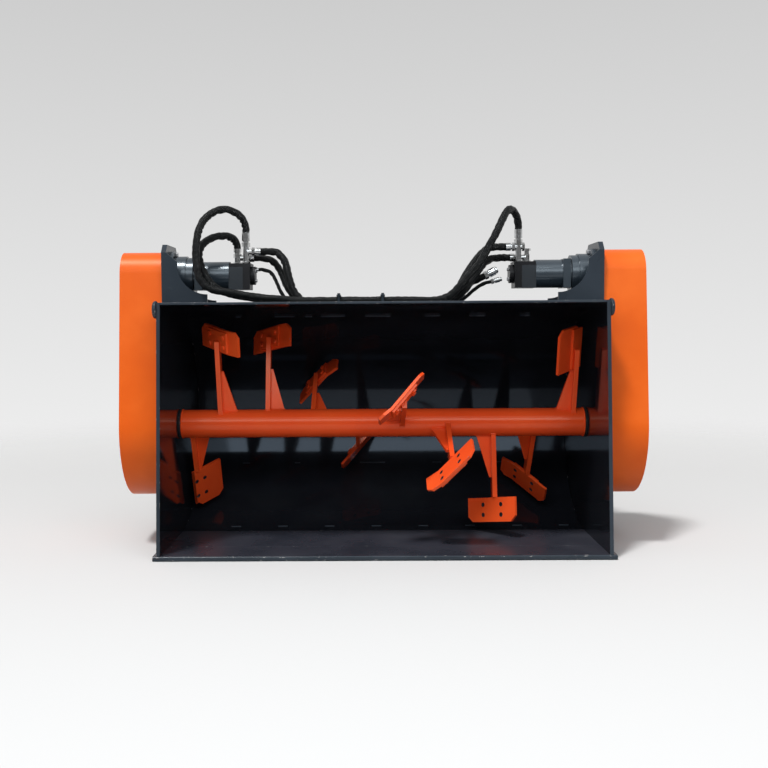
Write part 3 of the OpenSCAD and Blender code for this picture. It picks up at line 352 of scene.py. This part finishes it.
# Hose clamps: flat steel bars over the row of hoses, sprayed slate grey like the drum. Each lies on two round
# spacers on the top plate, and a bolt goes down through each spacer.
def gloss_coat(name, colour, deep, pale, roughness, wear, specular=0.18, peel=0.06, scuff=0.22,
               tint=(1, 1, 1)):
    """A sprayed coat: uneven shade, fine scuffs, orange peel, and spots of bare metal on the rolled edges"""
    finish, shader, add, join = new_finish(name, Specular_IOR_Level=specular, Specular_Tint=(*tint, 1))
    place = add("ShaderNodeTexCoord")
    broad = add("ShaderNodeTexNoise", Scale=3.1, Detail=4.0, Roughness=0.55)
    join(place.outputs["Object"], broad.inputs["Vector"])
    shade = ramp_of(add, [(0.32, deep), (0.5, colour), (0.7, pale)])
    join(broad.outputs["Fac"], shade.inputs["Fac"])
    # fine scuffs, stretched across the part by the loads that slide along it
    drawn = add("ShaderNodeMapping")
    drawn.inputs["Scale"].default_value = (6, 60, 130)
    drawn.inputs["Rotation"].default_value = (0.2, 0.15, 0.1)
    join(place.outputs["Object"], drawn.inputs["Vector"])
    scuffs = add("ShaderNodeTexNoise", Scale=1.6, Detail=8.0, Roughness=0.7)
    join(drawn.outputs["Vector"], scuffs.inputs["Vector"])
    scuffed = add("ShaderNodeMapRange", From_Min=0.62, From_Max=0.78)
    join(scuffs.outputs["Fac"], scuffed.inputs["Value"])
    # bare metal where an edge has knocked against something
    edge = add("ShaderNodeAttribute", attribute_name="worn")
    knocks = add("ShaderNodeTexNoise", Scale=55.0, Detail=5.0, Roughness=0.65)
    join(place.outputs["Object"], knocks.inputs["Vector"])
    knocked = add("ShaderNodeMapRange", From_Min=0.63 - 0.2 * wear, From_Max=0.66 - 0.2 * wear)
    join(knocks.outputs["Fac"], knocked.inputs["Value"])
    bare = add("ShaderNodeMath", operation="MULTIPLY")
    join(edge.outputs["Fac"], bare.inputs[0])
    join(knocked.outputs["Result"], bare.inputs[1])
    lifted = add("ShaderNodeMix", data_type="RGBA", blend_type="MIX")
    lifted.inputs[7].default_value = (*[min(1, 1.5 * c + 0.02) for c in pale], 1)
    lighten = add("ShaderNodeMath", operation="MULTIPLY")
    lighten.inputs[1].default_value = scuff
    join(scuffed.outputs["Result"], lighten.inputs[0])
    join(lighten.outputs["Value"], lifted.inputs[0])
    join(shade.outputs["Color"], lifted.inputs[6])
    metal = add("ShaderNodeMix", data_type="RGBA", blend_type="MIX")
    metal.inputs[7].default_value = (0.3, 0.29, 0.28, 1)
    join(bare.outputs["Value"], metal.inputs[0])
    join(lifted.outputs[2], metal.inputs[6])
    join(metal.outputs[2], shader.inputs["Base Color"])
    rough = add("ShaderNodeMapRange", From_Min=0.3, From_Max=0.7, To_Min=roughness[0], To_Max=roughness[1])
    join(broad.outputs["Fac"], rough.inputs["Value"])
    join(rough.outputs["Result"], shader.inputs["Roughness"])
    peeled = add("ShaderNodeTexNoise", Scale=420.0, Detail=2.0)
    join(place.outputs["Object"], peeled.inputs["Vector"])
    waves = add("ShaderNodeTexNoise", Scale=16.0, Detail=2.0)
    join(place.outputs["Object"], waves.inputs["Vector"])
    surface = add("ShaderNodeMath", operation="MULTIPLY_ADD")
    surface.inputs[1].default_value = 4.0
    join(waves.outputs["Fac"], surface.inputs[0])
    join(peeled.outputs["Fac"], surface.inputs[2])
    raised = add("ShaderNodeBump", Strength=peel, Distance=0.0012)
    join(surface.outputs["Value"], raised.inputs["Height"])
    join(raised.outputs["Normal"], shader.inputs["Normal"])
    return finish


slate = gloss_coat("slate_grey_paint", (0.03, 0.039, 0.05), (0.024, 0.032, 0.042), (0.038, 0.049, 0.063),
                   (0.2, 0.34), 0.12)
finished_part("hose_clamps", "bucket", slate, 0.8 * MM)

# Drum: sheets rolled round the path of the blades and welded between two side plates, closed by a sloping
# top plate over the mouth and a flat floor plate behind the cutting edge, all painted slate grey.
# the faces inside the drum take a far darker coat than the same slate paint outside: painted shade for the deep
# shade inside the mouth
drum_inside_shade = gloss_coat("drum_inside_paint", (0.011, 0.012, 0.016), (0.0085, 0.0095, 0.0125),
                         (0.015, 0.017, 0.021), (0.055, 0.1), 0.1,
                         specular=0.3, peel=0.02, tint=(0.68, 0.82, 1))
dusty = gloss_coat("dusty_floor_paint", (0.032, 0.033, 0.044), (0.022, 0.024, 0.033), (0.044, 0.045, 0.056),
                   (0.22, 0.36), 0.1, scuff=0.3)
for node, width in (("rolled_back", 1.5), ("top_plate", 2), ("side_plate_left", 2), ("side_plate_right", 2)):
    finished_part(node, "bucket", slate, width * MM, inside=drum_inside_shade)
finished_part("floor_plate", "bucket", slate, 1.5 * MM, inside=dusty)


def weld_tree():
    """Sweeps a rippled ridge along every run of points, as a row of overlapping weld pools"""
    tree = bpy.data.node_groups.new("weld_bead", "GeometryNodeTree")
    face = tree.interface
    face.new_socket("Runs", in_out="INPUT", socket_type="NodeSocketGeometry")
    for socket, kind, value in (
            ("Half width", "NodeSocketFloat", 0.005), ("Pool spacing", "NodeSocketFloat", 0.0045),
            ("Pool depth", "NodeSocketFloat", 0.22), ("Seed", "NodeSocketInt", 7)):
        face.new_socket(socket, in_out="INPUT", socket_type=kind).default_value = value
    face.new_socket("Finish", in_out="INPUT", socket_type="NodeSocketMaterial")
    face.new_socket("Beads", in_out="OUTPUT", socket_type="NodeSocketGeometry")
    add, join = tree.nodes.new, tree.links.new
    given, result = add("NodeGroupInput"), add("NodeGroupOutput")
    curves = add("GeometryNodeMeshToCurve")
    join(given.outputs["Runs"], curves.inputs["Mesh"])
    third = add("ShaderNodeMath")
    third.operation, third.inputs[1].default_value = "DIVIDE", 3
    join(given.outputs["Pool spacing"], third.inputs[0])
    even = add("GeometryNodeResampleCurve")
    even.mode = "LENGTH"
    join(curves.outputs["Curve"], even.inputs["Curve"])
    join(third.outputs["Value"], even.inputs["Length"])
    count, place = add("GeometryNodeInputIndex"), add("ShaderNodeMath")
    place.operation, place.inputs[1].default_value = "FLOORED_MODULO", 3
    join(count.outputs["Index"], place.inputs[0])
    drop = add("ShaderNodeMath")
    drop.operation = "MULTIPLY"
    join(place.outputs["Value"], drop.inputs[0])
    join(given.outputs["Pool depth"], drop.inputs[1])
    vary = add("FunctionNodeRandomValue")
    vary.data_type = "FLOAT"
    vary.inputs[2].default_value, vary.inputs[3].default_value = 0.94, 1.08
    join(given.outputs["Seed"], vary.inputs["Seed"])
    swell = add("ShaderNodeMath")
    swell.operation = "SUBTRACT"
    join(vary.outputs[1], swell.inputs[0])
    half_drop = add("ShaderNodeMath")
    half_drop.operation, half_drop.inputs[1].default_value = "MULTIPLY", 0.5
    join(drop.outputs["Value"], half_drop.inputs[0])
    join(half_drop.outputs["Value"], swell.inputs[1])
    sized = add("ShaderNodeMath")
    sized.operation = "MULTIPLY"
    join(swell.outputs["Value"], sized.inputs[0])
    join(given.outputs["Half width"], sized.inputs[1])
    profile = add("GeometryNodeCurvePrimitiveCircle")
    profile.inputs["Resolution"].default_value = 8
    profile.inputs["Radius"].default_value = 1.0
    swept = add("GeometryNodeCurveToMesh")
    swept.inputs["Fill Caps"].default_value = True
    join(even.outputs["Curve"], swept.inputs["Curve"])
    join(profile.outputs["Curve"], swept.inputs["Profile Curve"])
    join(sized.outputs["Value"], swept.inputs["Scale"])
    rounded = add("GeometryNodeSetShadeSmooth")
    join(swept.outputs["Mesh"], rounded.inputs["Geometry"])
    real, coat = add("GeometryNodeRealizeInstances"), add("GeometryNodeSetMaterial")
    join(rounded.outputs["Geometry"], real.inputs["Geometry"])
    join(real.outputs["Geometry"], coat.inputs["Geometry"])
    join(given.outputs["Finish"], coat.inputs["Material"])
    join(coat.outputs["Geometry"], result.inputs["Beads"])
    return tree


def made_by(tree, mesh, name, **values):
    """The plain mesh that a tree makes from a mesh, with its named inputs set"""
    carrier = add_mesh(name + "_runs", mesh)
    made = carrier.modifiers.new("made", "NODES")
    made.node_group = tree
    for item in tree.interface.items_tree:
        key = item.name.replace(" ", "_")
        if item.in_out == "INPUT" and key in values:
            made[item.identifier] = values[key]
    view = bpy.context.evaluated_depsgraph_get()
    result = bpy.data.meshes.new_from_object(carrier.evaluated_get(view), preserve_all_data_layers=True,
                                             depsgraph=view)
    carrier.modifiers.remove(made)
    bpy.data.objects.remove(carrier)
    return add_mesh(name, result)


weld_bead = weld_tree()


def weld(name, runs, half_width, body, finish):
    """Weld beads on one body, along runs of points in metres"""
    points, steps = [], []
    for run in runs:
        first = len(points)
        points += [tuple(p) for p in run]
        steps += [(first + k, first + k + 1) for k in range(len(run) - 1)]
    lines = bpy.data.meshes.new(name)
    lines.from_pydata(points, steps, [])
    beads = made_by(weld_bead, lines, name, Half_width=half_width, Pool_spacing=0.95 * half_width,
                    Finish=finish)
    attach(beads, body)
    return beads


def at(x, depth, z):
    return Vector((x * MM, (depth - DEPTH_ZERO) * MM, z * MM))


sheet_inner_r = 484.5


def on_sheet(x, angle):
    """A point on the inner face of the rolled sheets, at an angle round the shaft"""
    a = radians(angle)
    return at(x, SHAFT_DEPTH + sheet_inner_r * cos(a), SHAFT_HEIGHT + sheet_inner_r * sin(a))


# rows of short welds along the joints of the sheets: low in the drum, at the middle seam and under the top
low_row = [(x - 22, x + 22) for x in range(-668, 830, 213)]
middle_row = [(-679, -644), (-424, -399), (-106, 16), (250, 290), (560, 640)]
top_row = [(-661, -638), (-484, -393), (-347, -316), (-275, -166), (-75, 38), (196, 264), (399, 467),
           (624, 669)]
stitches = [[on_sheet(x0, angle), on_sheet(x1, angle)]
            for angle, row in ((-81.5, low_row), (-29.2, middle_row), (79, top_row)) for x0, x1 in row]
weld("drum_stitch_welds", stitches, 4 * MM, "bucket", slate)

# Cutting edge: a thick flat bar of wear steel, bevelled along its front and welded to the floor plate behind
# it. It reaches past both side plates, and its top is dusty where the load slides in.
finished_part("cutting_edge", "bucket", slate, 1.5 * MM, inside=dusty)

# Corner bosses: thick round discs of turned steel welded on the upper outer corners of the mouth, where they
# stiffen the side plates. They are painted with the drum.
finished_part("corner_bosses", "bucket", slate, 4 * MM, 4)

# Motor plates and gussets: flame-cut steel plates. Each motor is bolted to an upright plate above a side
# plate, and two curved gussets brace the upright on the top plate, all welded and painted with the drum.
finished_part("motor_plates", "bucket", slate, 1.5 * MM)
finished_part("motor_gussets", "bucket", slate, 1.5 * MM)

# Back: two folded stiffeners along the drum, ribs behind it down to the ground, and the coupler plate with
# its hook rail and its lock ledge. All are steel plate, welded on and painted with the drum.
for node in ("back_stiffeners", "coupler_ribs", "coupler_plate", "hook_rail", "lock_ledge"):
    finished_part(node, "bucket", slate, 1.5 * MM)

# Chain cases: welded sheet-steel boxes outside both side plates, over the chain drives, sprayed orange. Each
# has a lid outside that is held by zinc-plated hexagon screws round its rim.
orange = gloss_coat("orange_paint", (0.8, 0.112, 0.004), (0.76, 0.098, 0.004), (0.87, 0.14, 0.01),
                    (0.38, 0.44), 0.16, specular=0.38, peel=0.03, scuff=0.04, tint=(1, 0.82, 0.58))
for side in ("left", "right"):
    finished_part("chain_case_" + side, "bucket", orange, 3 * MM, 3)
    finished_part("case_lid_" + side, "bucket", orange, 1.5 * MM)
bolt_steel = plated_steel("bolt_zinc", (0.6, 0.6, 0.62), (0.34, 0.34, 0.34), (0.3, 0.5), 700.0)
finished_part("lid_bolts", "bucket", bolt_steel, 0.6 * MM, 1)

# Mixing shaft: a thick steel tube on two stub shafts, sprayed a redder orange. Ten plate arms are welded to
# it with brackets at their ends, and four bolts hold a blade to each bracket.
black_coat_and_painted_shade = gloss_coat("black_paint", (0.014, 0.014, 0.016), (0.01, 0.01, 0.011), (0.022, 0.022, 0.024),
                         (0.3, 0.5), 0.4)
shaft_orange = gloss_coat("shaft_orange_paint", (0.88, 0.084, 0.017), (0.82, 0.073, 0.015), (0.9, 0.1, 0.02),
                          (0.13, 0.2), 0.2, specular=0.34, peel=0.03, scuff=0.05, tint=(1, 0.86, 0.66))
finished_part("mixer_tube", "mixer", shaft_orange, 2 * MM)
finished_part("mixer_arms", "mixer", shaft_orange, 1.2 * MM)
for k in range(1, 11):
    finished_part("blade_%d" % k, "mixer", shaft_orange, 1.2 * MM)
# each arm's place along the shaft, as a share of half the drum, and its turn round the shaft in degrees
arm_places = ((-0.942, -152), (-0.796, 15), (-0.566, -13), (-0.346, -62), (-0.124, -111),
              (0.096, 71), (0.318, 114), (0.544, 168), (0.751, -139), (0.935, 16))
tube_r, tube_end = 62.5, 889


def on_arm(k, x, y, z):
    """A point beside an arm, with z out along it, in the place and turn that the arm has on the shaft"""
    share, turn = arm_places[k]
    a = radians(turn)
    return at(share * HALF_DRUM + (-x if k > 4 else x), SHAFT_DEPTH + y * cos(a) - z * sin(a),
              SHAFT_HEIGHT + y * sin(a) + z * cos(a))


# the sunk heads of the blade bolts on the working side take the black coat, painted shade for the dark holes
# they sit in; their nuts are painted with the arms
bolts = finished_part("blade_bolts", "mixer", shaft_orange, 0.6 * MM, 1)
bolts.data.materials.append(black_coat_and_painted_shade)
sweep_r, head_from = 440, 11.5
# each blade's height and its turn to the shaft in degrees: the end blades are taller
blade_form = [(195, 45) if k in (0, 9) else (106, 50) for k in range(10)]
blade_middle = [on_arm(k, 0, 0, sweep_r - high / 2) for k, (high, turn) in enumerate(blade_form)]
for face in bolts.data.polygons:
    k = min(range(10), key=lambda n: (face.center - blade_middle[n]).length)
    turn = radians(blade_form[k][1])
    outward = (on_arm(k, sin(turn), cos(turn), 0) - on_arm(k, 0, 0, 0)).normalized()
    if (face.center - blade_middle[k]).dot(outward) > head_from * MM:
        face.material_index = 1

# a weld runs round the foot of each arm's plate and web, and up both sides of the joint between the two
roots = []
for k in range(10):
    def on_tube(x, y):
        return on_arm(k, x, y, (tube_r ** 2 - y * y) ** 0.5)
    half, deep, web, out = 10, 30, 6, 72
    loop = [(-half, deep - 5 * n) for n in range(13)] + [(-half + 5 * n, -deep) for n in range(1, 5)]
    loop += [(half, -deep + 6 * n) for n in range(1, 5)] + [(half + 12.4 * n, -web) for n in range(1, 6)]
    loop += [(out, -web + 4 * n) for n in range(1, 4)] + [(out - 12.4 * n, web) for n in range(1, 6)]
    loop += [(half, web + 6 * n) for n in range(1, 5)] + [(half - 5 * n, deep) for n in range(1, 5)]
    roots.append([on_tube(x, y) for x, y in loop])
    for y in (-web, web):
        roots.append([on_arm(k, half, y, z) for z in range(66, 236, 10)])
weld("arm_root_welds", roots, 4 * MM, "mixer", shaft_orange)
collars = []
for x in (-tube_end, tube_end):
    collars.append([at(x, SHAFT_DEPTH + tube_r * cos(tau * n / 48), SHAFT_HEIGHT + tube_r * sin(tau * n / 48))
                    for n in range(49)])
weld("tube_end_welds", collars, 3 * MM, "mixer", shaft_orange)
finished_part("stub_shafts", "mixer", bolt_steel, 1 * MM)

# Bearings, seals and chain drives: cast iron housings bolted to the side plates, rubber seal rings on the
# shaft, and inside the cases steel sprockets and roller chains that run in oil.
casting = gloss_coat("painted_casting", (0.045, 0.052, 0.064), (0.036, 0.042, 0.052), (0.06, 0.066, 0.078),
                     (0.35, 0.6), 0.3, peel=0.25)
rubber = gloss_coat("seal_rubber", (0.02, 0.02, 0.021), (0.015, 0.015, 0.016), (0.03, 0.03, 0.031),
                    (0.55, 0.75), 0.0, peel=0.1)
oiled = plated_steel("oiled_steel", (0.3, 0.29, 0.27), (0.14, 0.13, 0.12), (0.28, 0.45), 500.0)
for side in ("left", "right"):
    finished_part("bearing_housing_" + side, "bucket", casting, 2 * MM)
    finished_part("large_sprocket_" + side, "mixer", oiled, 0.6 * MM, 1)
    finished_part("small_sprocket_" + side, "drive_" + side, oiled, 0.6 * MM, 1)
    finished_part("motor_shaft_" + side, "drive_" + side, bolt_steel, 1 * MM)
    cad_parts["chain_" + side].data.materials.clear()
    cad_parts["chain_" + side].data.materials.append(oiled)
finished_part("bearing_bolts", "bucket", bolt_steel, 0.6 * MM, 1)
finished_part("bearing_races", "mixer", bolt_steel, 0.6 * MM)
finished_part("shaft_seals", "bucket", rubber, 1 * MM)

# Motors: hydraulic motors of cast, turned iron housings in blue-grey paint, each with a dark port block and a
# black rear cap. Zinc-plated bolts hold each one by its flange to its upright plate.
motor_grey = gloss_coat("motor_paint", (0.021, 0.031, 0.042), (0.017, 0.026, 0.036), (0.028, 0.04, 0.053),
                        (0.24, 0.31), 0.2, specular=1.0, peel=0.16, scuff=0.1, tint=(0.86, 0.94, 1))
block_grey = gloss_coat("motor_block_paint", (0.017, 0.022, 0.028), (0.014, 0.018, 0.023),
                        (0.023, 0.029, 0.036), (0.38, 0.46), 0.2, specular=0.4, peel=0.16, scuff=0.1)
block_from = 649.2 * MM
for side in ("left", "right"):
    motor = finished_part("motor_" + side, "bucket", motor_grey, 1.5 * MM)
    motor.data.materials.append(block_grey)
    for face in motor.data.polygons:
        if abs(face.center.x) < block_from:
            face.material_index = 1
finished_part("motor_caps", "bucket", black_coat_and_painted_shade, 1.5 * MM)
finished_part("motor_bolts", "bucket", bolt_steel, 0.8 * MM)

# Studio: a plain pale floor that fades into a pale surrounding, a broad soft light above, a long one high in
# front whose reflection lies along the back of the drum, and a soft sun from high up in front on the left.
disc = bmesh.new()
bmesh.ops.create_circle(disc, cap_ends=True, radius=7, segments=96)
bmesh.ops.translate(disc, verts=disc.verts, vec=(0, 0, -0.0006))
ground = add_mesh("floor", bpy.data.meshes.new("floor"))
disc.to_mesh(ground.data)
disc.free()
pale_floor, shader, add, join = new_finish("pale_floor", Roughness=0.9, Specular_IOR_Level=0.1)
seen = add("ShaderNodeLightPath")
mirrored = add("ShaderNodeMath", operation="MAXIMUM")
join(seen.outputs["Is Camera Ray"], mirrored.inputs[0])
join(seen.outputs["Is Glossy Ray"], mirrored.inputs[1])
tone = add("ShaderNodeMix", data_type="RGBA")
tone.inputs[6].default_value, tone.inputs[7].default_value = (0.5, 0.5, 0.5, 1), (0.65, 0.645, 0.64, 1)
join(mirrored.outputs["Value"], tone.inputs[0])
join(tone.outputs[2], shader.inputs["Base Color"])
place, length = add("ShaderNodeTexCoord"), add("ShaderNodeVectorMath", operation="LENGTH")
join(place.outputs["Object"], length.inputs[0])
fade = add("ShaderNodeMapRange", From_Min=2.2, From_Max=6.5, interpolation_type="SMOOTHSTEP")
join(length.outputs["Value"], fade.inputs["Value"])
clear, blend = add("ShaderNodeBsdfTransparent"), add("ShaderNodeMixShader")
join(fade.outputs["Result"], blend.inputs["Fac"])
join(shader.outputs["BSDF"], blend.inputs[1])
join(clear.outputs["BSDF"], blend.inputs[2])
join(blend.outputs["Shader"], pale_floor.node_tree.nodes["Material Output"].inputs["Surface"])
ground.data.materials.append(pale_floor)

world = bpy.data.worlds.new("studio")
world.use_nodes = True
bpy.context.scene.world = world
tree = world.node_tree
add, join = tree.nodes.new, tree.links.new
surround = tree.nodes["Background"]
facing, height = add("ShaderNodeTexCoord"), add("ShaderNodeSeparateXYZ")
join(facing.outputs["Generated"], height.inputs["Vector"])
# what is seen: white near the ground, pale grey above
wall = add("ShaderNodeMapRange")
for socket, value in (("From Min", -0.37), ("From Max", 0.3), ("To Min", 1.0), ("To Max", 0.61)):
    wall.inputs[socket].default_value = value
join(height.outputs["Z"], wall.inputs["Value"])
# shiny parts show it darker on the side in front of the drum's mouth, as the photographer's side of a studio
ray, depth, unlit, dimmed = (add("ShaderNodeLightPath"), add("ShaderNodeMapRange"), add("ShaderNodeMath"),
                             add("ShaderNodeMath"))
for socket, value in (("From Min", -0.7), ("From Max", 0.2), ("To Min", 0.24), ("To Max", 1.0)):
    depth.inputs[socket].default_value = value
unlit.operation, dimmed.operation = "MAXIMUM", "MULTIPLY"
join(height.outputs["Y"], depth.inputs["Value"])
join(depth.outputs["Result"], unlit.inputs[0])
join(ray.outputs["Is Camera Ray"], unlit.inputs[1])
join(wall.outputs["Result"], dimmed.inputs[0])
join(unlit.outputs["Value"], dimmed.inputs[1])
# what lights the object: soft light from above
sky = add("ShaderNodeMapRange")
for socket, value in (("From Min", -0.2), ("From Max", 0.8), ("To Min", 0.2), ("To Max", 0.46)):
    sky.inputs[socket].default_value = value
join(height.outputs["Z"], sky.inputs["Value"])
glossy, clear_ray = add("ShaderNodeMath"), add("ShaderNodeMath")
glossy.operation = clear_ray.operation = "MAXIMUM"
join(ray.outputs["Is Camera Ray"], glossy.inputs[0])
join(ray.outputs["Is Glossy Ray"], glossy.inputs[1])
join(glossy.outputs["Value"], clear_ray.inputs[0])
join(ray.outputs["Is Transmission Ray"], clear_ray.inputs[1])
shown = add("ShaderNodeMix")
shown.data_type = "RGBA"
join(clear_ray.outputs["Value"], shown.inputs[0])
join(sky.outputs["Result"], shown.inputs[6])
join(dimmed.outputs["Value"], shown.inputs[7])
join(shown.outputs[2], surround.inputs["Color"])

for name, spot, size, power in (("light_above", (0, -2.6, 4.6), (4.5, 2.4), 40),
                                ("light_high_front", (0, -4.6, 3.2), (6.4, 1.5), 100)):
    lamp = bpy.data.lights.new(name, "AREA")
    lamp.color = (0.9, 0.96, 1)
    lamp.shape, lamp.size, lamp.size_y, lamp.energy = "RECTANGLE", *size, power
    light = bpy.data.objects.new(name, lamp)
    light.location = spot
    light.rotation_euler = (Vector((0, 0, 0.6)) - Vector(spot)).to_track_quat("-Z", "Y").to_euler()
    bpy.context.scene.collection.objects.link(light)
key = bpy.data.lights.new("light_key", "SUN")
key.energy, key.angle = 2.3, radians(8)
light = bpy.data.objects.new("light_key", key)
light.rotation_euler = Vector((0.246, 0.324, -0.913)).to_track_quat("-Z", "Y").to_euler()
bpy.context.scene.collection.objects.link(light)

bpy.context.scene.view_settings.view_transform = "Standard"
